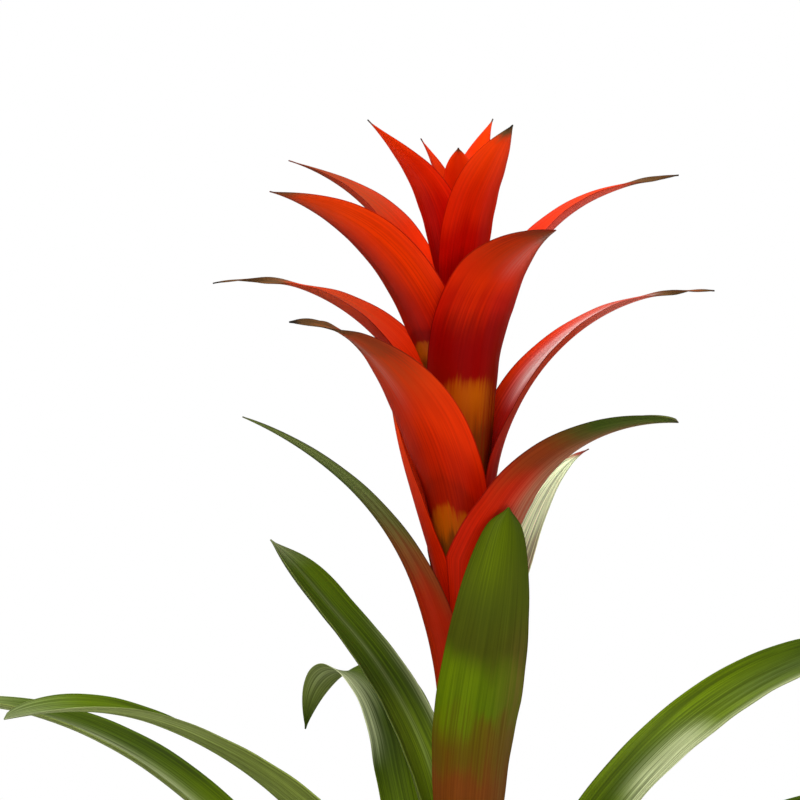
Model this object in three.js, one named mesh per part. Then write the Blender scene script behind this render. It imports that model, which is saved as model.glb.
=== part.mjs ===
// A guzmania plant in flower, as lifted from its pot: a rosette of arching leaves round a short
// crown, and a spike of flame-red bracts on the stem that rises from it. It stands on the flat cut
// base of the crown, with the drooping tips of its outer leaves just above the same surface.
// Millimetres and degrees, +Z up, with the origin at the middle of the cut base.
// A heading is measured round the stem: 0 points to the viewer (-Y), 90 to the right (+X).
// A lean is measured from the vertical: 0 points up, 90 outwards, 180 straight down.

import * as THREE from 'three';

// Stem: crown, flower stem and the tip hidden in the topmost bracts, as radius at height.
const STEM_OUTLINE = [
  [19, 0], [20, 4], [19, 22], [16, 42], [12.5, 66], [9.5, 92], [8, 120], [7, 160],
  [6.5, 250], [5.5, 340], [4.5, 400], [3, 430], [1.2, 441],
];
const STEM_SIDES = 28;

// Every blade is seated this far off the stem, and is built of this many facets.
const SEAT_GAP = 0.3;
const ROWS_ALONG = 13;
const FACETS_ACROSS = 6;
const ARC_STEPS = 96;

// What the blades of one kind share. baseWidth is the width where the blade leaves the stem, as a
// fraction of its full width, and widestAt is where along its length it is widest. taper and point
// shape the narrowing to the tip. The blade is a channel round the stem: it spans cup degrees or
// more each side of its midrib, and at its foot it wraps at most wrap degrees each way.
const BRACT = {
  baseWidth: 0.72, widestAt: 0.42, taper: 2.1, point: 1.1,
  cup: 45, wrap: 95, thickBase: 1, thickTip: 0.7,
};
const LEAF = {
  baseWidth: 1, widestAt: 0.3, taper: 3.2, point: 1.1,
  cup: 34, wrap: 55, thickBase: 1.8, thickTip: 0.8,
};
const TIP_WIDTH = 1.2;
const TIGHTEST_BEND = 0.15;

const FLAME_RED = { color: 0xe03404, roughness: 0.42 };
const DEEP_RED = { color: 0xc41f08, roughness: 0.42 };
const GREEN_TIPPED = { color: 0xa8340c, roughness: 0.45 };
const LEAF_GREEN = { color: 0x4f7a1c, roughness: 0.45 };
const PALE_GREEN = { color: 0x9db088, roughness: 0.6 };
const STEM_GREEN = { color: 0x7c7a3a, roughness: 0.7 };

// Blades from the top of the spike down. from is the height where the midrib leaves the stem, and
// lean is given at the base, a quarter, a half, three quarters and the tip of the length. turn is
// how far the heading has drifted by the tip, sway how far the tip veers sideways at a constant
// heading, and roll how far the tip has twisted round the midrib.
const BRACTS = [
  { name: 'bract_top_centre', heading: -20, turn: 15, from: 408, length: 57, width: 18,
    widestAt: 0.57, taper: 3, wrap: 70, lean: [5, 7, 12, 19, 26], paint: FLAME_RED },
  { name: 'bract_top_back_right', heading: 139, turn: -9, from: 400, length: 80, width: 30,
    widestAt: 0.48, point: 1.4, wrap: 57, lean: [6, 3, 2, 13, 27], paint: FLAME_RED },
  { name: 'bract_top_left', heading: -103, turn: -17, from: 391, length: 81, width: 25,
    widestAt: 0.48, taper: 2.2, point: 1.6, wrap: 56, lean: [6, 6, 5, 18, 34], paint: DEEP_RED },
  { name: 'bract_top_back', heading: 195, from: 381, length: 80, width: 24,
    wrap: 75, lean: [7, 7, 10, 18, 34], paint: FLAME_RED },
  { name: 'bract_top_front_left', heading: -55, from: 371, length: 118, width: 35,
    widestAt: 0.46, point: 1.5, wrap: 68, lean: [7, 15, 14, 43, 51], paint: FLAME_RED },
  { name: 'bract_top_front', heading: -12, turn: 61, from: 357, length: 126, width: 27,
    widestAt: 0.71, taper: 2.8, wrap: 85, lean: [7, 10, 23, 40, 30], paint: FLAME_RED },
  { name: 'bract_upper_back_left', heading: -115, turn: -8, from: 344, length: 157, width: 33,
    widestAt: 0.53, point: 1.8, wrap: 72, lean: [6, 18, 34, 56, 77], paint: FLAME_RED },
  { name: 'bract_upper_right', heading: 112, turn: -3, from: 337, length: 170, width: 31,
    taper: 1.6, point: 1.3, wrap: 60, lean: [6, 13, 38, 66, 87], paint: FLAME_RED },
  { name: 'bract_upper_front_left', heading: -45, turn: -5, from: 316, length: 178, width: 42,
    widestAt: 0.5, taper: 3.5, point: 1.35, lean: [6, 21, 40, 62, 86], paint: FLAME_RED },
  { name: 'bract_upper_back', heading: 180, from: 326, length: 140, width: 32,
    wrap: 50, lean: [8, 16, 44, 66, 80], paint: DEEP_RED },
  { name: 'bract_middle_left', heading: -113, from: 295, length: 185, width: 40,
    widestAt: 0.5, taper: 1.4, point: 1.85, wrap: 68, lean: [6, 20, 47, 72, 107], paint: FLAME_RED },
  { name: 'bract_middle_front', heading: -2, turn: 54, from: 281, length: 168, width: 46,
    widestAt: 0.76, taper: 2, point: 0.9, lean: [6, 9, 13, 43, 69], paint: FLAME_RED },
  { name: 'bract_middle_back', heading: 180, from: 245, length: 150, width: 30,
    wrap: 60, lean: [5, 6, 18, 42, 76], paint: DEEP_RED },
  { name: 'bract_middle_right', heading: 111, from: 262, length: 208, width: 34,
    taper: 1.6, point: 1.5, lean: [5, 7, 39, 67, 99], paint: DEEP_RED },
  { name: 'bract_lower_front_left', heading: -34, from: 238, length: 219, width: 44,
    taper: 2.4, point: 2.3, roll: -16, wrap: 82, lean: [5, 12, 41, 66, 98], paint: FLAME_RED },
  { name: 'bract_lower_left', heading: -95, from: 222, length: 130, width: 32,
    lean: [5, 7, 17, 16, 8], paint: FLAME_RED },
  { name: 'bract_lower_back', heading: -165, from: 206, length: 165, width: 32,
    wrap: 66, lean: [5, 6, 28, 55, 80], paint: GREEN_TIPPED },
  { name: 'bract_lower_right', heading: 42, turn: 26, from: 183, length: 212, width: 56,
    taper: 1.1, point: 0.5, wrap: 78, lean: [5, 5, 20, 59, 96], paint: GREEN_TIPPED },
  { name: 'bract_lowest_left', heading: -54, turn: -24, from: 162, length: 221, width: 32,
    baseWidth: 0.9, taper: 1.1, point: 0.7, lean: [5, 6, 25, 49, 67], paint: GREEN_TIPPED },
  { name: 'bract_pale_back', heading: 135, turn: 10, from: 140, length: 222, width: 31,
    widestAt: 0.5, taper: 2.7, point: 1.3, lean: [5, 5, 16, 40, 77], paint: PALE_GREEN },
  { name: 'bract_green_front', heading: -1, turn: 22, from: 110, length: 197, width: 43,
    sway: 9, widestAt: 0.53, point: 0.5, roll: -7, wrap: 80, lean: [10, 5, 16, 7, -8], paint: LEAF_GREEN },
];

// The rosette, from the crown's top leaf down to the lowest, whose tips droop to the surface.
const LEAVES = [
  { name: 'leaf_upper_left', heading: -134, turn: 24, from: 95, length: 220, width: 41,
    widestAt: 0.78, taper: 4.5, point: 1.5, lean: [6, 9, 30, 45, 38], paint: LEAF_GREEN },
  { name: 'leaf_curled_back', heading: -157, turn: 10, from: 80, length: 242, width: 40,
    widestAt: 0.45, lean: [26, 31, 24, 88, 162], paint: LEAF_GREEN },
  { name: 'leaf_right', heading: 123, turn: 10, from: 70, length: 340, width: 38,
    roll: 44, lean: [32, 40, 61, 78, 107], paint: LEAF_GREEN },
  { name: 'leaf_back', heading: 172, from: 59, length: 280, width: 34,
    lean: [34, 54, 80, 104, 128], paint: LEAF_GREEN },
  { name: 'leaf_front_left', heading: -58, from: 49, length: 297, width: 44,
    taper: 3.4, point: 0.6, roll: -10, lean: [18, 29, 50, 69, 102], paint: LEAF_GREEN },
  { name: 'leaf_front_right', heading: 78, from: 41, length: 310, width: 37,
    lean: [26, 38, 62, 92, 128], paint: LEAF_GREEN },
  { name: 'leaf_left', heading: -104, turn: -17, from: 36, length: 364, width: 40,
    lean: [26, 43, 56, 82, 111], paint: LEAF_GREEN },
  { name: 'leaf_front', heading: 14, from: 32, length: 290, width: 37,
    lean: [34, 52, 82, 108, 132], paint: LEAF_GREEN },
  { name: 'leaf_lower_back_left', heading: -145, from: 28, length: 320, width: 38,
    lean: [42, 60, 90, 118, 140], paint: LEAF_GREEN },
  { name: 'leaf_lower_right', heading: 92, from: 24, length: 320, width: 38,
    lean: [46, 62, 92, 118, 134], paint: LEAF_GREEN },
  { name: 'leaf_lower_front_left', heading: -32, from: 20, length: 310, width: 38,
    lean: [50, 66, 97, 120, 138.5], paint: LEAF_GREEN },
  { name: 'leaf_lower_back', heading: 152, from: 16, length: 310, width: 38,
    lean: [54, 70, 96, 116, 128], paint: LEAF_GREEN },
  { name: 'leaf_low_left', heading: -82, from: 13, length: 300, width: 38,
    lean: [58, 74, 95, 112, 121], paint: LEAF_GREEN },
  { name: 'leaf_low_front_right', heading: 46, from: 10, length: 300, width: 38,
    lean: [62, 77, 96, 108, 111.5], paint: LEAF_GREEN },
  { name: 'leaf_low_back', heading: -170, from: 7, length: 290, width: 38,
    lean: [66, 80, 96, 104, 104.5], paint: LEAF_GREEN },
];

const rad = THREE.MathUtils.degToRad;
const mix = THREE.MathUtils.lerp;

function stemRadius(height) {
  for (let i = 1; i < STEM_OUTLINE.length; i += 1) {
    const [lowRadius, low] = STEM_OUTLINE[i - 1];
    const [highRadius, high] = STEM_OUTLINE[i];
    if (height <= high) return mix(lowRadius, highRadius, (height - low) / (high - low));
  }
  return 0;
}

function leanAt(blade, t) {
  const spans = blade.lean.length - 1;
  const span = Math.min(Math.floor(t * spans), spans - 1);
  return rad(mix(blade.lean[span], blade.lean[span + 1], t * spans - span));
}

function outward(heading) {
  return new THREE.Vector3(Math.sin(heading), -Math.cos(heading), 0);
}

function sideways(heading) {
  return new THREE.Vector3(Math.cos(heading), Math.sin(heading), 0);
}

function widthAt(blade, t) {
  if (t < blade.widestAt) {
    const rise = Math.sin((Math.PI / 2) * (t / blade.widestAt));
    return blade.width * mix(blade.baseWidth, 1, rise);
  }
  const past = (t - blade.widestAt) / (1 - blade.widestAt);
  return Math.max(TIP_WIDTH, blade.width * (1 - past ** blade.taper) ** blade.point);
}

// Stations along the midrib, each with its place, direction and distance from the stem's axis.
function midrib(blade) {
  const wrap = (blade.width * blade.baseWidth) / 2 / stemRadius(blade.from);
  const facet = Math.min(wrap, rad(blade.wrap)) / FACETS_ACROSS;
  const inner = (stemRadius(blade.from) + SEAT_GAP) / Math.cos(facet);
  const seat = inner + (Math.cos(leanAt(blade, 0)) * blade.thickBase) / 2;
  const place = outward(rad(blade.heading)).multiplyScalar(seat);
  place.z = blade.from;
  const stations = [];
  for (let step = 0; step <= ARC_STEPS; step += 1) {
    const t = step / ARC_STEPS;
    const heading = rad(blade.heading + (blade.turn ?? 0) * t);
    const lean = leanAt(blade, t);
    const along = outward(heading).multiplyScalar(Math.sin(lean));
    along.z = Math.cos(lean);
    along.addScaledVector(sideways(heading), Math.tan(rad(blade.sway ?? 0) * t)).normalize();
    stations.push({ t, heading, place: place.clone(), along, reach: Math.hypot(place.x, place.y) });
    place.addScaledVector(along, blade.length / ARC_STEPS);
  }
  return stations;
}

function bladeGeometry(blade) {
  const stations = midrib(blade);
  const corners = [];
  for (let row = 0; row <= ROWS_ALONG; row += 1) {
    const { t, heading, place, along, reach } = stations[Math.round((row / ROWS_ALONG) * ARC_STEPS)];
    const upper = new THREE.Vector3().crossVectors(along, sideways(heading)).normalize();
    const side = new THREE.Vector3().crossVectors(upper, along);
    const roll = rad((blade.roll ?? 0) * t * t);
    side.applyAxisAngle(along, roll);
    upper.applyAxisAngle(along, roll);
    const halfWidth = Math.min(widthAt(blade, t) / 2, reach * rad(blade.wrap));
    const halfAngle = Math.max(halfWidth / reach, rad(blade.cup));
    const radius = halfWidth / halfAngle;
    const centre = place.clone().addScaledVector(upper, radius);
    const thick = mix(blade.thickBase, blade.thickTip, t);
    for (const face of [-1, 1]) {
      const faceRadius = Math.max(radius + face * thick / 2, TIGHTEST_BEND);
      for (let column = 0; column <= FACETS_ACROSS; column += 1) {
        const angle = halfAngle * (2 * column / FACETS_ACROSS - 1);
        const corner = centre.clone();
        corner.addScaledVector(side, Math.sin(angle) * faceRadius);
        corner.addScaledVector(upper, -Math.cos(angle) * faceRadius);
        corners.push(corner);
      }
    }
  }
  return shell(corners);
}

// A closed skin over rows of corners: each row holds the inner face, then the outer face.
function shell(corners) {
  const perFace = FACETS_ACROSS + 1;
  const inner = (row, column) => row * 2 * perFace + column;
  const outer = (row, column) => inner(row, column) + perFace;
  const triangles = [];
  const quad = (a, b, c, d) => triangles.push(a, b, c, a, c, d);
  for (let row = 0; row < ROWS_ALONG; row += 1) {
    for (let column = 0; column < FACETS_ACROSS; column += 1) {
      quad(inner(row, column), inner(row + 1, column), inner(row + 1, column + 1), inner(row, column + 1));
      triangles.push(outer(row, column), outer(row + 1, column + 1), outer(row + 1, column));
      triangles.push(outer(row, column), outer(row, column + 1), outer(row + 1, column + 1));
    }
    quad(inner(row, 0), outer(row, 0), outer(row + 1, 0), inner(row + 1, 0));
    const last = FACETS_ACROSS;
    quad(inner(row, last), inner(row + 1, last), outer(row + 1, last), outer(row, last));
  }
  for (let column = 0; column < FACETS_ACROSS; column += 1) {
    quad(inner(0, column), inner(0, column + 1), outer(0, column + 1), outer(0, column));
    const end = ROWS_ALONG;
    quad(inner(end, column), outer(end, column), outer(end, column + 1), inner(end, column + 1));
  }
  const geometry = new THREE.BufferGeometry();
  const positions = corners.flatMap((corner) => corner.toArray());
  geometry.setAttribute('position', new THREE.Float32BufferAttribute(positions, 3));
  geometry.setIndex(triangles);
  geometry.computeVertexNormals();
  return geometry;
}

function named(name, geometry, paint) {
  const mesh = new THREE.Mesh(geometry, new THREE.MeshStandardMaterial(paint));
  mesh.name = name;
  return mesh;
}

function stem() {
  const outline = STEM_OUTLINE.map(([radius, height]) => new THREE.Vector2(radius, height));
  outline.unshift(new THREE.Vector2(0, outline[0].y));
  outline.push(new THREE.Vector2(0, outline[outline.length - 1].y));
  const mesh = named('stem', new THREE.LatheGeometry(outline, STEM_SIDES), STEM_GREEN);
  mesh.rotation.x = Math.PI / 2;
  return mesh;
}

const plant = new THREE.Group();
plant.add(stem());
BRACTS.forEach((bract) => plant.add(named(bract.name, bladeGeometry({ ...BRACT, ...bract }), bract.paint)));
LEAVES.forEach((leaf) => plant.add(named(leaf.name, bladeGeometry({ ...LEAF, ...leaf }), leaf.paint)));

export default plant;
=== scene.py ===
"""A guzmania plant in flower, lifted from its pot: strap leaves round a crown, red bracts above."""

import math
import random

import bmesh
import bpy
from mathutils import Matrix, Vector


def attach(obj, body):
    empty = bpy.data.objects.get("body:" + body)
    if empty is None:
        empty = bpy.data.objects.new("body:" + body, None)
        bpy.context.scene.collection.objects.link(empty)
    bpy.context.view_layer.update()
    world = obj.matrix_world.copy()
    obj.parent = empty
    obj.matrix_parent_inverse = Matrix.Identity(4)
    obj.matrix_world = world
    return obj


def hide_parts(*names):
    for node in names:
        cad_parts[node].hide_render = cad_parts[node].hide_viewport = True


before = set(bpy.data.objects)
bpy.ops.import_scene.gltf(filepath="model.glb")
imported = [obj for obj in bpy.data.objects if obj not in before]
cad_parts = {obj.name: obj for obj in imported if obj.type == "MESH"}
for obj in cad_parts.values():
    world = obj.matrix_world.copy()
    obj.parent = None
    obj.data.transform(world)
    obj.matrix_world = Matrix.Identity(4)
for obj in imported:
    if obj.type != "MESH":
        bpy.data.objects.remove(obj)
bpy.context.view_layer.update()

MM = 0.001

# Stem: crown and flower stem, as radius at height in millimetres.
STEM_OUTLINE = (
    (19, 0), (20, 4), (19, 22), (16, 42), (12.5, 66), (9.5, 92), (8, 120), (7, 160),
    (6.5, 250), (5.5, 340), (4.5, 400), (3, 430), (1.2, 441),
)
STEM_SIDES = 72
# Rings that old leaves leave on the stem, how sharp their ridges are, how many steps of the
# outline each takes, and the heights over which they come in and fade out.
SCAR_SPACING = 3.2
SCAR_DEPTH = 0.5
SCAR_SHARPNESS = 3
SCAR_STEPS = 4
SCARS_COME_IN = (0, 6)
SCARS_FADE = (70, 110)

# How finely a blade is built and how it is seated on the stem, in millimetres where not a count.
SEAT_GAP = 0.3
SEAT_FACETS = 6
ARC_STEPS = 96
ROWS_ACROSS = 28
TIP_WIDTH = 0.7
TIGHTEST_BEND = 0.12
# The part of its thickness that a blade loses at its margins, and the powers of the place across
# that keep this thinning and the margins' waves away from the midrib.
MARGIN_THINNING = 0.7
THINNING_POWER = 3
WAVE_POWER = 2.2
# The small wave on top of the long one: its height and its number, as parts of the long one's.
SMALL_WAVE = 0.3
SMALL_WAVES = 3.7

# Places along a blade, 0 at its foot and 1 at its tip: where its end lifts, where a nib starts,
# where the arch in its colours fades out, and where a dried tail goes black.
LIFTED = (0.75, 1)
NIB_START = 0.95
NIB_TAPER = 3
ARCH_FADES = (0.5, 0.8)
BLACKENED = (0.96, 1)
# Counted from where a dried tail starts: how far ahead of it the blade begins to be pinched and
# to twist, and the stretch over which its colour dries.
PINCH_LEAD = 0.13
TWIST_LEAD = 0.04
DRYING = (-0.06, 0.03)
DRY_TONE = 0.955
# The tail's width where it starts, how far along it the full width is reached, and how it narrows
# to its end.
TAIL_NECK = 0.6
TAIL_SWELL = 0.3
TAIL_TAPER = 3
TAIL_POINT = 0.8

# A normal's height below which a face counts as upright, and above which as level.
UPRIGHT = 0.5
LEVEL = 0.9

# What the blades of one kind share: widths as fractions of the full width, how the blade narrows
# to its point, the channel's half angle and its widest wrap in degrees, and thickness in
# millimetres. wave is how far the margins wander, arch how much further along the margins are in
# colour than the midrib, and lift how many degrees the end rises off its even curve. tail is a
# dried ribbon at the end: where it starts, how wide it is and how tightly it is pinched before
# that; twist is how far it turns on itself. A nib draws a blunt end out to a small point.
# The four washes over the blade's tones are painted light and shade: a painted glow of light where
# light falls on the blade, painted shade, a tan that is partly painted shade and partly the blade's
# own browning, and a painted sheen, a highlight where the wax would shine. Each has its place
# across, its spread, where along the blade it begins and ends, and how strong it is.
BLADE = dict(
    point=1.1, turn=0, sway=0, roll=0, arch=0.06, lift=0, tail=(), twist=0, nib=False,
    warm=(), deep=(), tan=(), pale=(),
)
BRACT = dict(
    BLADE, slot="bract_red", base_width=0.72, widest_at=0.42, taper=2.1, cup=45, wrap=95,
    thick_base=1.0, thick_tip=0.6, wave=0.35, waves=2.3,
)
LEAF = dict(
    BLADE, slot="leaf", base_width=1, widest_at=0.3, taper=3.2, cup=34, wrap=55,
    thick_base=1.8, thick_tip=0.7, wave=0.45, waves=3.1, zones=(0.3, 0.5, 0.9),
)

# Blades from the top of the spike down, each with its heading round the stem (0 to the viewer,
# 90 to the right), the height of its foot, its length and width, and its lean from the vertical
# at five even places. zones says where along the blade its colours change, and its washes paint
# light, shade and a sheen onto it.
BRACTS = (
    dict(node="bract_top_centre", heading=-20, turn=15, foot=408, length=57, width=18,
         widest_at=0.57, taper=3, wrap=70, lean=(5, 7, 12, 19, 26), zones=(0.1, 0.2, 0.96),
         deep=((0, 2, 0, 1.2, 0.3),)),
    dict(node="bract_top_back_right", heading=139, turn=-9, foot=400, length=80, width=30,
         widest_at=0.48, point=1.4, wrap=57, lean=(6, 3, 2, 13, 27), zones=(0.1, 0.2, 0.97)),
    dict(node="bract_top_left", heading=-103, turn=-17, foot=391, length=81, width=25,
         widest_at=0.48, taper=2.2, point=1.6, wrap=56, lean=(6, 6, 5, 18, 34),
         zones=(0.1, 0.3, 0.97), deep=((0, 2, 0.2, 1.3, 0.5),)),
    dict(node="bract_top_back", heading=195, foot=381, length=80, width=24,
         wrap=75, lean=(7, 7, 10, 18, 34), zones=(0.1, 0.3, 0.96)),
    dict(node="bract_top_front_left", heading=-55, foot=371, length=118, width=35,
         widest_at=0.46, point=1.5, wrap=68, lean=(7, 15, 14, 43, 51), zones=(0.15, 0.5, 0.97)),
    dict(node="bract_top_front", heading=-12, turn=61, foot=357, length=126, width=27,
         widest_at=0.71, taper=2.8, wrap=85, lean=(7, 10, 23, 40, 30), zones=(0.2, 0.5, 0.95),
         deep=((0.8, 0.4, 0.2, 1.1, 0.5),)),
    dict(node="bract_upper_back_left", heading=-115, turn=-8, foot=344, length=157, width=33,
         widest_at=0.53, point=1.8, wrap=72, lean=(6, 18, 34, 56, 77), zones=(0.1, 0.2, 0.82),
         lift=2.6, tan=((0, 1.5, 0.55, 1.15, 1),), deep=((0, 2, 0.4, 1.1, 0.7),)),
    dict(node="bract_upper_right", heading=112, turn=-3, foot=337, length=170, width=31,
         taper=1.6, point=1.3, wrap=60, lean=(6, 13, 38, 66, 87), zones=(0.2, 0.35, 0.84),
         lift=3, tail=(0.88, 2.2, 0.3), twist=120,
         pale=((-0.5, 0.6, 0.3, 1, 0.1),), tan=((0, 2, 0.3, 1.7, 0.5),)),
    dict(node="bract_upper_front_left", heading=-45, turn=-5, foot=316, length=178, width=42,
         widest_at=0.5, taper=3.5, point=1.35, lean=(6, 21, 40, 62, 86), zones=(0.36, 0.4, 0.93),
         lift=5, warm=((0.6, 0.7, 0.35, 1, 0.6),), deep=((-0.6, 0.65, 0.25, 1.2, 1.2),),
         tan=((-0.2, 1, 0.7, 1.6, 1), (-0.9, 0.3, 0.3, 1, 0.3))),
    dict(node="bract_upper_back", heading=180, foot=326, length=140, width=32,
         wrap=50, lean=(8, 16, 44, 66, 80), zones=(0.25, 0.4, 0.93)),
    dict(node="bract_middle_left", heading=-113, foot=295, length=185, width=40,
         widest_at=0.5, taper=1.4, point=1.85, wrap=68, lean=(6, 20, 47, 72, 107),
         zones=(0.2, 0.3, 0.8), lift=5.6, tail=(0.8, 2.6, 0.5), twist=-230,
         tan=((0, 2, 0.4, 1.3, 1),), warm=((-0.6, 0.6, 0.2, 0.8, 0.4),),
         deep=((0.9, 0.6, 0.1, 0.65, 0.9),)),
    dict(node="bract_middle_front", heading=-2, turn=54, foot=281, length=168, width=46,
         widest_at=0.76, taper=2, point=0.9, lean=(6, 9, 13, 43, 69),
         zones=(0.47, 0.66, 0.93), arch=0.05,
         warm=((-0.4, 0.5, 0.55, 1, 0.3),), pale=((0.1, 0.3, 0.75, 1.1, 0.12),),
         tan=((0.5, 0.3, 0.7, 1.3, 0.5), (-0.3, 0.5, 0.76, 1.6, 0.8)),
         deep=((0.8, 0.4, 0.3, 1.1, 0.7), (-0.95, 0.4, 0.7, 1.5, 0.9),
               (-0.8, 0.5, 0.1, 0.6, 0.8), (0.6, 0.3, 0.1, 0.6, 0.9),
               (0.1, 0.5, 0.2, 0.44, 0.45), (-0.3, 0.5, 0.65, 1.4, 0.5))),
    dict(node="bract_middle_back", heading=180, foot=245, length=150, width=30,
         wrap=60, lean=(5, 6, 18, 42, 76), zones=(0.3, 0.5, 0.93)),
    dict(node="bract_middle_right", heading=111, foot=262, length=208, width=34,
         taper=1.6, point=1.5, lean=(5, 7, 39, 67, 99), zones=(0.2, 0.35, 0.84),
         lift=5, tail=(0.86, 2.8, 0.5), twist=250, warm=((1, 0.4, 0.25, 0.95, 0.9),),
         pale=((0.28, 0.28, 0.4, 0.92, 1.8), (0, 2, 0.6, 0.95, 0.15)),
         tan=((-0.9, 0.5, 0.1, 1.3, 0.8), (0.6, 0.8, 0.6, 1.2, 0.8))),
    dict(node="bract_lower_front_left", heading=-34, foot=238, length=219, width=44,
         taper=2.4, point=2.3, roll=-16, wrap=82, lean=(5, 12, 41, 66, 98),
         zones=(0.305, 0.38, 0.73), arch=0.12, lift=3.8, tail=(0.84, 4.6, 0), twist=-70,
         warm=((0.7, 0.6, 0.3, 0.9, 0.2), (0, 1.2, 0.2, 0.6, 0.25)),
         tan=((0, 1.1, 0.45, 1.4, 0.9),), pale=((-0.1, 0.15, 0.5, 1.1, 0.12),),
         deep=((-0.6, 0.5, 0.1, 0.9, 0.4), (0.5, 0.8, 0, 0.5, 0.2),
               (0.8, 0.35, 0.58, 1, 0.7))),
    dict(node="bract_lower_left", heading=-95, foot=222, length=130, width=32,
         lean=(5, 7, 17, 16, 8), zones=(0.1, 0.15, 0.96)),
    dict(node="bract_lower_back", heading=-165, foot=206, length=165, width=32,
         wrap=66, lean=(5, 6, 28, 55, 80), slot="bract_green_tipped", zones=(0.35, 0.6, 0.96)),
    dict(node="bract_lower_right", heading=42, turn=26, foot=183, length=212, width=56,
         taper=1.1, point=0.5, wrap=78, lean=(5, 5, 20, 59, 96), slot="bract_green_tipped",
         zones=(0.64, 0.8, 0.97), lift=3, tan=((0.15, 0.4, 0.4, 1.1, 1.3),),
         pale=((0, 2, 0.72, 1.4, 0.25),)),
    dict(node="bract_lowest_left", heading=-54, turn=-24, foot=162, length=221, width=32,
         base_width=0.9, taper=1.1, point=0.7, lean=(5, 6, 25, 49, 67),
         slot="bract_green_tipped", zones=(0.45, 0.66, 0.98), pale=((0.6, 0.6, 0.45, 1.4, 0.75),),
         deep=((0, 2, 0.05, 0.6, 0.45),)),
    dict(node="bract_pale_back", heading=135, turn=10, foot=140, length=222, width=31,
         widest_at=0.5, taper=2.7, point=1.3, lean=(5, 5, 16, 40, 77), slot="bract_pale",
         zones=(0.3, 0.6, 0.95), deep=((-0.9, 0.3, 0.2, 1, 0.1), (0.9, 0.3, 0.2, 1, 0.15))),
    dict(node="bract_green_front", heading=-1, turn=22, foot=110, length=197, width=43,
         sway=9, widest_at=0.53, point=0.5, roll=-7, wrap=80, lean=(10, 5, 16, 7, -8),
         slot="bract_green", zones=(0.42, 0.64, 0.985), arch=0.02, nib=True,
         warm=((-0.6, 0.45, 0.42, 0.68, 0.9), (-0.35, 0.5, 0.75, 1.1, 0.5)),
         deep=((0.8, 0.4, 0.78, 1.2, 0.35),), tan=((0.8, 0.4, 0.1, 0.8, 0.7),)),
)
LEAVES = (
    dict(node="leaf_upper_left", heading=-134, turn=24, foot=95, length=220, width=41,
         widest_at=0.78, taper=4.5, point=1.5, lean=(6, 9, 30, 45, 38),
         warm=((0, 0.6, 0.2, 0.65, 0.5),), deep=((0, 1.2, 0.45, 1.6, 0.75),),
         pale=((-1, 0.15, 0.1, 0.8, 0.4), (-0.3, 0.08, 0.1, 1.1, 0.1), (0, 2, 0.9, 1.4, 0.5))),
    dict(node="leaf_curled_back", heading=-157, turn=10, foot=80, length=242, width=40,
         widest_at=0.45, lean=(26, 31, 24, 88, 162),
         pale=((0.5, 0.4, 0.55, 0.95, 0.3), (1, 0.35, 0.45, 0.75, 1))),
    dict(node="leaf_right", heading=123, turn=10, foot=70, length=340, width=38,
         roll=44, lean=(32, 40, 61, 78, 107), zones=(0.4, 0.75, 0.97),
         pale=((-0.75, 0.4, 0.2, 0.55, 0.95), (-0.2, 0.36, 0.34, 0.56, 0.7),
               (-0.9, 0.22, 0.36, 0.88, 0.5), (-0.2, 0.5, 0.45, 1.1, 0.05)),
         deep=((0.35, 0.35, 0.1, 0.55, 0.8), (0, 2, 0.5, 1.3, 0.35),
               (-0.05, 0.4, 0.5, 1.2, 0.7))),
    dict(node="leaf_back", heading=172, foot=59, length=280, width=34,
         lean=(34, 54, 80, 104, 128)),
    dict(node="leaf_front_left", heading=-58, foot=49, length=297, width=44,
         taper=3.4, point=0.6, roll=-10, lean=(18, 29, 50, 69, 102),
         pale=((0.9, 0.5, 0.6, 1.2, 0.15), (0, 2, 0.85, 1.4, 0.3))),
    dict(node="leaf_front_right", heading=78, foot=41, length=310, width=37,
         lean=(26, 38, 62, 92, 128)),
    dict(node="leaf_left", heading=-104, turn=-17, foot=36, length=364, width=40,
         lean=(26, 43, 56, 82, 111), pale=((0.3, 0.4, 0.3, 0.95, 0.5), (0, 2, 0.72, 1.4, 0.5))),
    dict(node="leaf_front", heading=14, foot=32, length=290, width=37,
         lean=(34, 52, 82, 108, 132)),
    dict(node="leaf_lower_back_left", heading=-145, foot=28, length=320, width=38,
         lean=(42, 60, 90, 118, 140)),
    dict(node="leaf_lower_right", heading=92, foot=24, length=320, width=38,
         lean=(46, 62, 92, 118, 134)),
    dict(node="leaf_lower_front_left", heading=-32, foot=20, length=310, width=38,
         lean=(50, 66, 97, 120, 138.5)),
    dict(node="leaf_lower_back", heading=152, foot=16, length=310, width=38,
         lean=(54, 70, 96, 116, 128)),
    dict(node="leaf_low_left", heading=-82, foot=13, length=300, width=38,
         lean=(58, 74, 95, 112, 121)),
    dict(node="leaf_low_front_right", heading=46, foot=10, length=300, width=38,
         lean=(62, 77, 96, 108, 111.5)),
    dict(node="leaf_low_back", heading=-170, foot=7, length=290, width=38,
         lean=(66, 80, 96, 104, 104.5)),
)

# The tones that a blade's zones stand for, from its foot to its tip, and its washes: painted light,
# painted shade, a tan that is part painted shade and part browning, and a painted sheen.
TONES = (0, 0.3, 0.5, 0.9, 1)
WASHES = ("warm", "deep", "tan", "pale")
# What each spot of a blade's skin holds for its material.
SKIN_VALUES = ("tone", "under", *WASHES)
# Each wash comes in over the first of this many parts of its length and fades out over the last.
WASH_PARTS = 3

# The skin's lines, bands, patches and ribs: repeats a millimetre across and along the blade, and
# how much detail. The shift, in millimetres, gives each blade a part of the pattern of its own.
FINE_LINES = (1.1, 0.012, 4.0)
BROAD_BANDS = (0.3, 0.006, 3.0)
PATCHES = (0.05, 0.022, 2.0)
RIBS = (0.3, 0.003, 0.0)
PATTERN_SHIFT = 71
PATTERN_ROUGHNESS = 0.55
# The part of a pattern's range that shows, for crisp lines and for soft ones.
CRISP = (0.35, 0.65)
SOFT = (0.3, 0.7)
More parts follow.
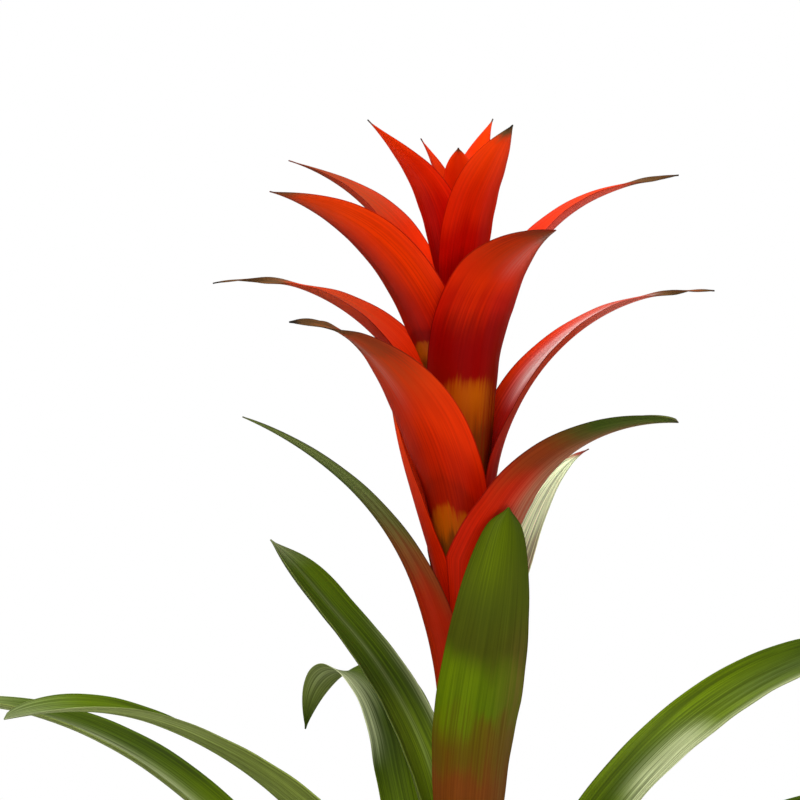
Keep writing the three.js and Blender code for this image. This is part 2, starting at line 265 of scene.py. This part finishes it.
# How far the lines and bands shift a tone, and how much of a wash shows between the lines.
RAGGED = 0.05
WASH_BETWEEN = 0.55
# The thin margin, as places from the midrib, and the wax's roughness, shine and ribs.
MARGIN_STRIP = (0.965, 0.995)
WAX_ROUGHNESS = (0.48, 0.34)
WAX_SHINE = 0.04
RIB_STRENGTH = 0.5
RIB_HEIGHT = 0.25

GOLD = (0.545, 0.115, 0.0)
OLIVE_GOLD = (0.2, 0.055, 0.003)
DARK_RED = (0.29, 0.0, 0.0)
DEEP_RED = (0.52, 0.004, 0.0)
FLAME = (0.74, 0.02, 0.0)
ORANGE = (0.84, 0.042, 0.0)
BRIGHT_RED = (0.6, 0.02, 0.0)
CLEAR_RED = (0.57, 0.012, 0.0)
RUST = (0.24, 0.035, 0.006)
BRONZE = (0.08, 0.06, 0.008)
TIP_BROWN = (0.13, 0.06, 0.02)
TIP_BLACK = (0.02, 0.018, 0.012)
LEAF_GREEN = (0.072, 0.118, 0.002)
LEAF_DARK = (0.035, 0.06, 0.002)
LEAF_UNDER = (0.155, 0.195, 0.035)
LEAF_FOOT = (0.3, 0.33, 0.13)
LEAF_FRESH = (0.09, 0.14, 0.001)
PALE = (0.75, 0.91, 0.56)
PALE_TIP = (0.3, 0.05, 0.03)
PALE_END = (0.08, 0.02, 0.02)
FRONT_BROWN = (0.2, 0.05, 0.006)
FRONT_OLIVE = (0.13, 0.08, 0.003)
FRONT_FRESH = (0.095, 0.15, 0.001)
FRONT_DUSKY = (0.063, 0.072, 0.003)
FRONT_MIDDLE = (0.065, 0.083, 0.004)
FRONT_UPPER = (0.06, 0.085, 0.002)
# Each kind of blade's wash colours: its painted light, its painted shade, its tan (partly painted
# shade, partly browning) and its painted sheen, a painted highlight.
RED_WASHES = ((0.98, 0.055, 0.0), (0.19, 0.006, 0.0), (0.25, 0.045, 0.015), (0.95, 0.7, 0.66))
DUSKY_WASHES = ((0.6, 0.02, 0.0), (0.12, 0.02, 0.003), (0.4, 0.15, 0.08), (0.2, 0.23, 0.07))
GREEN_WASHES = ((0.13, 0.19, 0.001), (0.03, 0.055, 0.001), (0.14, 0.075, 0.02), (0.55, 0.6, 0.33))
# How each kind's margin tints the colour beside it.
RED_MARGIN = (0.5, 0.3, 0.3)
PALE_MARGIN = (0.6, 0.62, 0.5)
FRONT_MARGIN = (0.9, 0.6, 0.6)
LEAF_MARGIN = (1.3, 1.25, 1.4)

# The stem's tones from the ground to a height in millimetres, and its fibres as repeats a metre.
STEM_TONES = (
    (0, (0.30, 0.22, 0.11)), (0.03, (0.16, 0.10, 0.05)), (0.2, (0.28, 0.27, 0.09)),
    (0.45, (0.30, 0.26, 0.03)), (0.75, (0.45, 0.10, 0.01)), (1, (0.6, 0.03, 0.0)),
)
STEM_TONES_TOP = 440
STEM_FIBRES = (900, 900, 60)
STEM_RAGGED = 0.06
STEM_ROUGHNESS = 0.7
FIBRE_STRENGTH = 0.6
FIBRE_HEIGHT = 0.4

# Where the camera stands for the photograph's view, in millimetres.
CAMERA_PLACE = (-30, -1500, 351)
CAMERA_LENS = 150
CAMERA_SENSOR = 36

# The surround's brightness, from one place in depth to another, and how much of it is mirrored.
SURROUND_DEPTH = (-0.4, 0.6)
SURROUND_BRIGHTNESS = (0.3, 0.9)
MIRRORED_SURROUND = 0.08
WHITE = (1, 1, 1, 1)
# Softboxes: name, place in metres, power in watts and width in metres, all aimed at one point.
SOFTBOXES = (
    ("top_softbox", (-0.3, -0.35, 1.9), 28, 1.2),
    ("front_softbox", (-0.3, -1.7, 1.5), 17, 1.0),
    ("side_softbox", (1.5, -0.3, 1.0), 7, 1.0),
)
SOFTBOX_AIM = (0, 0, 0.3)

FLOOR_RADIUS = 1200
FLOOR_SIDES = 96
FLOOR_COLOUR = (0.86, 0.86, 0.85, 1)
FLOOR_ROUGHNESS = 0.8


def mix(low, high, share):
    return low + (high - low) * share


def smooth(low, high, value):
    """0 below low, 1 above high, and an even S between them."""
    share = min(max((value - low) / (high - low), 0), 1)
    return share * share * (3 - 2 * share)


def evenly_between(share, values):
    """The value at a share of the way along evenly spaced values."""
    spans = len(values) - 1
    span = min(int(share * spans), spans - 1)
    return mix(values[span], values[span + 1], share * spans - span)


def between_stops(place, stops, values):
    """The value at a place among unevenly spaced stops."""
    for low, high, first, last in zip(stops, stops[1:], values, values[1:]):
        if place <= high:
            return mix(first, last, (place - low) / (high - low))
    return values[-1]


def stem_radius(height):
    radii = [radius for radius, _ in STEM_OUTLINE]
    heights = [level for _, level in STEM_OUTLINE]
    return between_stops(height, heights, radii)


def outward(heading):
    return Vector((math.sin(heading), -math.cos(heading), 0))


def sideways(heading):
    return Vector((math.cos(heading), math.sin(heading), 0))


def width_at(blade, along):
    widest = blade["widest_at"]
    if along < widest:
        rise = math.sin(math.pi / 2 * along / widest)
        return blade["width"] * mix(blade["base_width"], 1, rise)
    past = (along - widest) / (1 - widest)
    width = blade["width"] * (1 - past ** blade["taper"]) ** blade["point"]
    if blade["nib"]:
        width *= 1 - max((along - NIB_START) / (1 - NIB_START), 0) ** NIB_TAPER
    if blade["tail"]:
        start, _, pinch = blade["tail"]
        width *= 1 - pinch * smooth(start - PINCH_LEAD, start, along)
        width = max(width, tail_width(blade, along))
    return max(TIP_WIDTH, width)


def tail_width(blade, along):
    """The dried ribbon's width, which swells from its neck and runs out at its tip."""
    start, ribbon, _ = blade["tail"]
    share = max((along - start) / (1 - start), 0)
    swollen = mix(TAIL_NECK, 1, smooth(0, TAIL_SWELL, share))
    return ribbon * swollen * (1 - share ** TAIL_TAPER) ** TAIL_POINT


def seat_distance(blade):
    """How far from the stem's axis the blade's foot sits, clear of the stem's facets."""
    foot_radius = stem_radius(blade["foot"])
    wrap = blade["width"] * blade["base_width"] / 2 / foot_radius
    facet = min(wrap, math.radians(blade["wrap"])) / SEAT_FACETS
    inner = (foot_radius + SEAT_GAP) / math.cos(facet)
    first_lean = math.radians(blade["lean"][0])
    return inner + math.cos(first_lean) * blade["thick_base"] / 2


def midrib(blade):
    """Stations along the midrib: how far along, heading, place, direction and reach."""
    place = outward(math.radians(blade["heading"])) * seat_distance(blade)
    place.z = blade["foot"]
    stations = []
    for step in range(ARC_STEPS + 1):
        along = step / ARC_STEPS
        heading = math.radians(blade["heading"] + blade["turn"] * along)
        lifted = blade["lift"] * smooth(*LIFTED, along)
        lean = math.radians(evenly_between(along, blade["lean"]) - lifted)
        way = outward(heading) * math.sin(lean)
        way.z = math.cos(lean)
        way += sideways(heading) * math.tan(math.radians(blade["sway"]) * along)
        way.normalize()
        stations.append((along, heading, place.copy(), way, math.hypot(place.x, place.y)))
        place += way * (blade["length"] / ARC_STEPS)
    return stations


def sections(blade):
    """The channel at each station: its axis, its two directions, its radius and its half angle."""
    found = []
    twisted_from = blade["tail"][0] - TWIST_LEAD if blade["tail"] else 0
    for along, heading, place, way, reach in midrib(blade):
        upper = way.cross(sideways(heading)).normalized()
        side = upper.cross(way)
        rolled = blade["roll"] * along * along + blade["twist"] * smooth(twisted_from, 1, along)
        turned = Matrix.Rotation(math.radians(rolled), 3, way)
        upper = turned @ upper
        side = turned @ side
        half_width = min(width_at(blade, along) / 2, reach * math.radians(blade["wrap"]))
        half_angle = max(half_width / reach, math.radians(blade["cup"]))
        radius = half_width / half_angle
        found.append((place + upper * radius, side, upper, radius, half_angle))
    return found


def margin_wave(blade, along, across, phases):
    """How far the skin wanders off the plain channel, most at the margins of the middle."""
    swell = math.sin(math.pi * along) * abs(across) ** WAVE_POWER
    phase = phases[0] if across < 0 else phases[1]
    long_wave = math.sin(2 * math.pi * (blade["waves"] * along + phase))
    small_wave = math.sin(2 * math.pi * (SMALL_WAVES * blade["waves"] * along + 2 * phase))
    return blade["wave"] * swell * (long_wave + SMALL_WAVE * small_wave)


def dryness(blade, along):
    """0 on the fresh blade, 1 on its dried tail."""
    if not blade["tail"]:
        return 0
    start = blade["tail"][0]
    return smooth(start + DRYING[0], start + DRYING[1], along)


def tone_at(blade, across, along):
    """Where a spot of the blade stands in its run of tones, dry and dark on a tail."""
    ahead = blade["arch"] * across * across * (1 - smooth(*ARCH_FADES, along))
    tone = between_stops(along + ahead, (0, *blade["zones"], 1), TONES)
    if blade["tail"]:
        tone = mix(tone, DRY_TONE, dryness(blade, along))
        tone = mix(tone, 1, smooth(*BLACKENED, along))
    return tone


def wash_at(washes, across, along):
    """How strongly one of a blade's washes of painted light and shade shows at one spot."""
    strength = 0
    for place, spread, start, end, most in washes:
        fade = (end - start) / WASH_PARTS
        span = smooth(start, start + fade, along) * (1 - smooth(end - fade, end, along))
        strength += most * span * math.exp(-((across - place) / spread) ** 2)
    return min(strength, 1)


def spot_on(vert):
    """How far across (-1 to 1) and along (0 to 1) the flat slab a vertex lies."""
    return vert.co.x, (vert.co.y + 1) / 2


def is_rim(edge, middle):
    """True for an edge that runs round the slab's rim on one of its two faces."""
    if (edge.verts[0].co.z > middle) != (edge.verts[1].co.z > middle):
        return False
    return any(abs(face.normal.z) < UPRIGHT for face in edge.link_faces)


def map_skin(bm, blade, order):
    """Two maps on the flat slab: the blade as a unit square, and its grain in millimetres."""
    blade_map = bm.loops.layers.uv["blade"]
    grain_map = bm.loops.layers.uv["grain"]
    shift = order * PATTERN_SHIFT
    for face in bm.faces:
        face.smooth = True
        for loop in face.loops:
            across, along = spot_on(loop.vert)
            loop[blade_map].uv = ((across + 1) / 2, along)
            loop[grain_map].uv = (across * blade["width"] / 2 + shift, along * blade["length"])


def tone_skin(bm, blade, middle):
    """Each spot's tone, whether it is on the under face, and its washes of painted light and shade,
    for the material.
    """
    layers = {name: bm.verts.layers.float[name] for name in SKIN_VALUES}
    for vert in bm.verts:
        across, along = spot_on(vert)
        vert[layers["tone"]] = tone_at(blade, across, along)
        vert[layers["under"]] = 1 if vert.co.z > middle else 0
        for name in WASHES:
            shown = wash_at(blade[name], across, along) * (1 - dryness(blade, along))
            vert[layers[name]] = shown


def bend_slab(bm, blade, order, middle):
    """The flat slab bent round the blade's midrib, with thin and wavy margins."""
    draw = random.Random(order)
    phases = (draw.random(), draw.random())
    channel = sections(blade)
    for vert in bm.verts:
        across, along = spot_on(vert)
        face = 1 if vert.co.z > middle else -1
        centre, side, upper, radius, half_angle = channel[round(along * ARC_STEPS)]
        thick = mix(blade["thick_base"], blade["thick_tip"], along)
        thick *= 1 - MARGIN_THINNING * abs(across) ** THINNING_POWER
        bent = radius + face * thick / 2 + margin_wave(blade, along, across, phases)
        bent = max(bent, TIGHTEST_BEND)
        angle = half_angle * across
        place = centre + side * (math.sin(angle) * bent) - upper * (math.cos(angle) * bent)
        vert.co = place * MM


def grown_blade(blade, order):
    """One blade: a flat slab with its maps and tones, bent round its midrib."""
    bm = bmesh.new()
    for name in ("blade", "grain"):
        bm.loops.layers.uv.new(name)
    for name in SKIN_VALUES:
        bm.verts.layers.float.new(name)
    bmesh.ops.create_grid(bm, x_segments=ROWS_ACROSS, y_segments=ARC_STEPS, size=1)
    bmesh.ops.solidify(bm, geom=bm.faces[:], thickness=1)
    heights = [vert.co.z for vert in bm.verts]
    middle = (min(heights) + max(heights)) / 2
    for edge in bm.edges:
        edge.smooth = not is_rim(edge, middle)
    map_skin(bm, blade, order)
    tone_skin(bm, blade, middle)
    bend_slab(bm, blade, order, middle)
    bmesh.ops.recalc_face_normals(bm, faces=bm.faces[:])
    return made(bm, blade["node"] + "_blade")


def grown_stem():
    """Crown and flower stem, spun from their outline, with the rings that old leaves leave."""
    bm = bmesh.new()
    top = STEM_OUTLINE[-1][1]
    rings = int(top / (SCAR_SPACING / SCAR_STEPS))
    profile = [bm.verts.new((0, 0, 0))]
    for ring in range(rings + 1):
        height = top * ring / rings
        scar = max(0, math.cos(2 * math.pi * height / SCAR_SPACING)) ** SCAR_SHARPNESS
        scarred = smooth(*SCARS_COME_IN, height) * (1 - smooth(*SCARS_FADE, height))
        radius = stem_radius(height) - SCAR_DEPTH * scarred + SCAR_DEPTH * scar * scarred
        profile.append(bm.verts.new((radius * MM, 0, height * MM)))
    profile.append(bm.verts.new((0, 0, top * MM)))
    edges = [bm.edges.new(pair) for pair in zip(profile, profile[1:])]
    bmesh.ops.spin(
        bm, geom=profile + edges, cent=(0, 0, 0), axis=(0, 0, 1), angle=2 * math.pi,
        steps=STEM_SIDES, use_merge=True, use_duplicate=False,
    )
    bmesh.ops.remove_doubles(bm, verts=bm.verts[:], dist=0.01 * MM)
    bmesh.ops.recalc_face_normals(bm, faces=bm.faces[:])
    for face in bm.faces:
        face.smooth = abs(face.normal.z) < LEVEL
    return made(bm, "stem_grown")


def made(bm, name):
    """A finished bmesh as an object in the scene."""
    mesh = bpy.data.meshes.new(name)
    bm.to_mesh(mesh)
    bm.free()
    piece = bpy.data.objects.new(mesh.name, mesh)
    bpy.context.scene.collection.objects.link(piece)
    return piece


class Nodes:
    """The node tree of a material or of the world, with short calls to add and join nodes."""

    def __init__(self, owner):
        self.owner = owner
        self.owner.use_nodes = True
        self.tree = owner.node_tree

    def add(self, kind, sockets=None, **settings):
        node = self.tree.nodes.new(kind)
        for key, value in settings.items():
            setattr(node, key, value)
        self.feed(node, sockets or {})
        return node

    def feed(self, node, sockets):
        for key, value in sockets.items():
            if isinstance(value, bpy.types.NodeSocket):
                self.tree.links.new(value, node.inputs[key])
            else:
                node.inputs[key].default_value = value

    def shaded(self, sockets):
        """The material, with its shader fed."""
        self.feed(self.tree.nodes["Principled BSDF"], sockets)
        return self.owner

    def math(self, operation, first, second=0.0, third=0.0):
        sockets = {0: first, 1: second, 2: third}
        return self.add("ShaderNodeMath", sockets, operation=operation).outputs[0]

    def shifted(self, value, noise, amount):
        """A value moved to and fro by a noise that swings about a half."""
        swing = self.math("SUBTRACT", noise, 0.5)
        return self.math("MULTIPLY_ADD", swing, amount, value)

    def ranged(self, value, source, target=(0.0, 1.0), way="SMOOTHSTEP"):
        sockets = {"Value": value, "From Min": source[0], "From Max": source[1],
                   "To Min": target[0], "To Max": target[1]}
        node = self.add("ShaderNodeMapRange", sockets, interpolation_type=way)
        return node.outputs["Result"]

    def blend(self, share, first, second, way="MIX"):
        """Two colours mixed: the Mix node takes them in sockets 6 and 7 and gives them in 2."""
        sockets = {0: share, 6: first, 7: second}
        node = self.add("ShaderNodeMix", data_type="RGBA", blend_type=way)
        self.feed(node, sockets)
        return node.outputs[2]

    def ramp(self, value, stops):
        node = self.add("ShaderNodeValToRGB", {"Fac": value})
        band = node.color_ramp
        band.interpolation = "EASE"
        while len(band.elements) < len(stops):
            band.elements.new(0.5)
        for element, (place, colour) in zip(band.elements, stops):
            element.position = place
            element.color = (*colour, 1)
        return node.outputs["Color"]

    def pattern(self, grain, across, along, detail):
        scaled = self.add("ShaderNodeMapping", {"Vector": grain, "Scale": (across, along, 1)})
        sockets = {"Vector": scaled.outputs[0], "Scale": 1.0, "Detail": detail,
                   "Roughness": PATTERN_ROUGHNESS}
        return self.add("ShaderNodeTexNoise", sockets, noise_dimensions="2D").outputs[0]

    def bump(self, height, strength, distance):
        sockets = {"Height": height, "Strength": strength, "Distance": distance * MM}
        return self.add("ShaderNodeBump", sockets).outputs[0]

    def uv(self, name):
        return self.add("ShaderNodeUVMap", uv_map=name).outputs["UV"]

    def value_of(self, name):
        return self.add("ShaderNodeAttribute", attribute_name=name).outputs["Fac"]


def blade_material(name, tones, under_tones, tints, vein, margin=RED_MARGIN, blotch=0.1):
    """Waxy blade: a run of tones from foot to tip with painted light, shade and sheen washed over
    them, fine lengthwise lines and a thin margin.
    """
    nodes = Nodes(bpy.data.materials.new(name))
    grain = nodes.uv("grain")
    fine = nodes.pattern(grain, *FINE_LINES)
    broad = nodes.pattern(grain, *BROAD_BANDS)
    patches = nodes.pattern(grain, *PATCHES)
    tone = nodes.value_of("tone")
    for noise, amount in ((fine, RAGGED), (broad, RAGGED), (patches, blotch)):
        tone = nodes.shifted(tone, noise, amount)
    upper = nodes.ramp(tone, tones)
    under = nodes.ramp(tone, under_tones)
    colour = nodes.blend(nodes.value_of("under"), upper, under)
    lined = nodes.ranged(fine, CRISP, (WASH_BETWEEN, 1.0))
    # Painted light, painted shade, a tan (part painted shade, part browning) and a painted sheen
    # laid over the tones, showing most on the lines.
    for wash_name, tint in zip(WASHES, tints):
        share = nodes.math("MULTIPLY", nodes.value_of(wash_name), lined)
        colour = nodes.blend(share, colour, (*tint, 1))
    lines = nodes.ranged(fine, CRISP, (1 - vein, 1 + vein))
    bands = nodes.ranged(broad, SOFT, (1 - vein / 2, 1 + vein / 2))
    strength = nodes.math("MULTIPLY", lines, bands)
    shade = nodes.add("ShaderNodeCombineColor", {0: strength, 1: strength, 2: strength})
    colour = nodes.blend(1.0, colour, shade.outputs[0], "MULTIPLY")
    edged = nodes.blend(1.0, colour, (*margin, 1), "MULTIPLY")
    across = nodes.add("ShaderNodeSeparateXYZ", {0: nodes.uv("blade")}).outputs["X"]
    off_midrib = nodes.math("ABSOLUTE", nodes.math("MULTIPLY_ADD", across, 2.0, -1.0))
    return nodes.shaded({
        "Base Color": nodes.blend(nodes.ranged(off_midrib, MARGIN_STRIP), colour, edged),
        "Roughness": nodes.ranged(fine, SOFT, WAX_ROUGHNESS),
        "Specular IOR Level": WAX_SHINE,
        "Normal": nodes.bump(nodes.pattern(grain, *RIBS), RIB_STRENGTH, RIB_HEIGHT),
    })


def flame_material():
    tones = (
        (0, OLIVE_GOLD), (0.225, OLIVE_GOLD), (0.262, GOLD), (0.285, GOLD), (0.33, DARK_RED),
        (0.44, DARK_RED), (0.54, DEEP_RED), (0.66, FLAME), (0.87, ORANGE), (0.95, TIP_BROWN),
        (1, TIP_BLACK),
    )
    return blade_material("waxy_flame_red", tones, tones, RED_WASHES, vein=0.06)


def green_tipped_material():
    tones = (
        (0, OLIVE_GOLD), (0.08, BRIGHT_RED), (0.27, CLEAR_RED), (0.4, RUST), (0.52, BRONZE),
        (0.62, LEAF_DARK), (0.9, LEAF_DARK), (1, TIP_BLACK),
    )
    return blade_material("waxy_red_to_green", tones, tones, DUSKY_WASHES, vein=0.15)


def pale_material():
    tones = ((0, PALE), (0.87, PALE), (0.92, PALE_TIP), (1, PALE_END))
    return blade_material(
        "pale_striped_green", tones, tones, GREEN_WASHES, vein=0.45, margin=PALE_MARGIN,
    )


def green_front_material():
    tones = (
        (0, FRONT_BROWN), (0.27, FRONT_BROWN), (0.34, FRONT_OLIVE), (0.4, FRONT_FRESH),
        (0.46, FRONT_FRESH), (0.55, FRONT_DUSKY), (0.68, FRONT_MIDDLE), (0.85, FRONT_UPPER),
        (1, LEAF_DARK),
    )
    return blade_material(
        "green_over_brown", tones, tones, GREEN_WASHES, vein=0.12, margin=FRONT_MARGIN,
        blotch=0.16,
    )


def leaf_material():
    tones = (
        (0, LEAF_FOOT), (0.12, LEAF_FRESH), (0.4, LEAF_FRESH), (0.6, LEAF_DARK),
        (0.9, LEAF_GREEN), (1, LEAF_DARK),
    )
    under = ((0, LEAF_FOOT), (0.15, LEAF_UNDER), (0.9, LEAF_UNDER), (1, LEAF_DARK))
    return blade_material(
        "strap_leaf_green", tones, under, GREEN_WASHES, vein=0.3, margin=LEAF_MARGIN,
    )


def stem_material():
    """Fibrous stem: brown crown, olive in the middle and red towards the top."""
    nodes = Nodes(bpy.data.materials.new("fibrous_stem"))
    place = nodes.add("ShaderNodeTexCoord").outputs["Object"]
    height = nodes.add("ShaderNodeSeparateXYZ", {0: place}).outputs["Z"]
    scaled = nodes.add("ShaderNodeMapping", {"Vector": place, "Scale": STEM_FIBRES})
    sockets = {"Vector": scaled.outputs[0], "Scale": 1.0, "Detail": 4.0}
    fibres = nodes.add("ShaderNodeTexNoise", sockets).outputs[0]
    share = nodes.math("MULTIPLY", height, 1 / (STEM_TONES_TOP * MM))
    share = nodes.shifted(share, fibres, STEM_RAGGED)
    return nodes.shaded({
        "Base Color": nodes.ramp(share, STEM_TONES),
        "Roughness": STEM_ROUGHNESS,
        "Normal": nodes.bump(fibres, FIBRE_STRENGTH, FIBRE_HEIGHT),
    })


def dress(piece, node, material):
    piece.data.materials.append(material)
    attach(piece, "root")
    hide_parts(node)


def grow_plant():
    finishes = {
        "bract_red": flame_material(),
        "bract_green_tipped": green_tipped_material(),
        "bract_pale": pale_material(),
        "bract_green": green_front_material(),
        "leaf": leaf_material(),
    }
    dress(grown_stem(), "stem", stem_material())
    blades = [{**BRACT, **own} for own in BRACTS] + [{**LEAF, **own} for own in LEAVES]
    for order, blade in enumerate(blades, 1):
        slot = blade["slot"]
        dress(grown_blade(blade, order), blade["node"], finishes[slot])


def floor():
    bm = bmesh.new()
    bmesh.ops.create_circle(bm, cap_ends=True, segments=FLOOR_SIDES, radius=FLOOR_RADIUS * MM)
    ground = made(bm, "floor")
    nodes = Nodes(bpy.data.materials.new("pale_floor"))
    sockets = {"Base Color": FLOOR_COLOUR, "Roughness": FLOOR_ROUGHNESS}
    ground.data.materials.append(nodes.shaded(sockets))
    ground.visible_glossy = False


def surround():
    """White for the camera; for the plant, bright behind it and dim towards the viewer."""
    world = bpy.data.worlds.new("studio")
    bpy.context.scene.world = world
    nodes = Nodes(world)
    heading = nodes.add("ShaderNodeTexCoord").outputs["Generated"]
    depth = nodes.add("ShaderNodeSeparateXYZ", {0: heading}).outputs["Y"]
    bright = nodes.ranged(depth, SURROUND_DEPTH, SURROUND_BRIGHTNESS, "LINEAR")
    path = nodes.add("ShaderNodeLightPath").outputs
    mirrored = nodes.math("MULTIPLY_ADD", path["Is Glossy Ray"], MIRRORED_SURROUND - 1, 1)
    lit = nodes.tree.nodes["Background"]
    nodes.feed(lit, {"Color": WHITE, "Strength": nodes.math("MULTIPLY", bright, mirrored)})
    seen = nodes.add("ShaderNodeBackground", {"Color": WHITE, "Strength": 1.0})
    sockets = {0: path["Is Camera Ray"], 1: lit.outputs[0], 2: seen.outputs[0]}
    chosen = nodes.add("ShaderNodeMixShader", sockets)
    nodes.feed(nodes.tree.nodes["World Output"], {"Surface": chosen.outputs[0]})


def softbox(name, place, power, width):
    light = bpy.data.lights.new(name, "AREA")
    light.energy = power
    light.size = width
    lamp = bpy.data.objects.new(name, light)
    lamp.location = place
    aim = Vector(SOFTBOX_AIM) - Vector(place)
    lamp.rotation_euler = aim.to_track_quat("-Z", "Y").to_euler()
    bpy.context.scene.collection.objects.link(lamp)


def studio():
    surround()
    for box in SOFTBOXES:
        softbox(*box)
    bpy.context.scene.view_settings.view_transform = "Standard"


def camera():
    data = bpy.data.cameras.new("camera")
    data.lens = CAMERA_LENS
    data.sensor_width = CAMERA_SENSOR
    eye = bpy.data.objects.new("camera", data)
    eye.location = Vector(CAMERA_PLACE) * MM
    eye.rotation_euler = (math.pi / 2, 0, 0)
    bpy.context.scene.collection.objects.link(eye)
    bpy.context.scene.camera = eye


camera()
studio()
floor()
grow_plant()
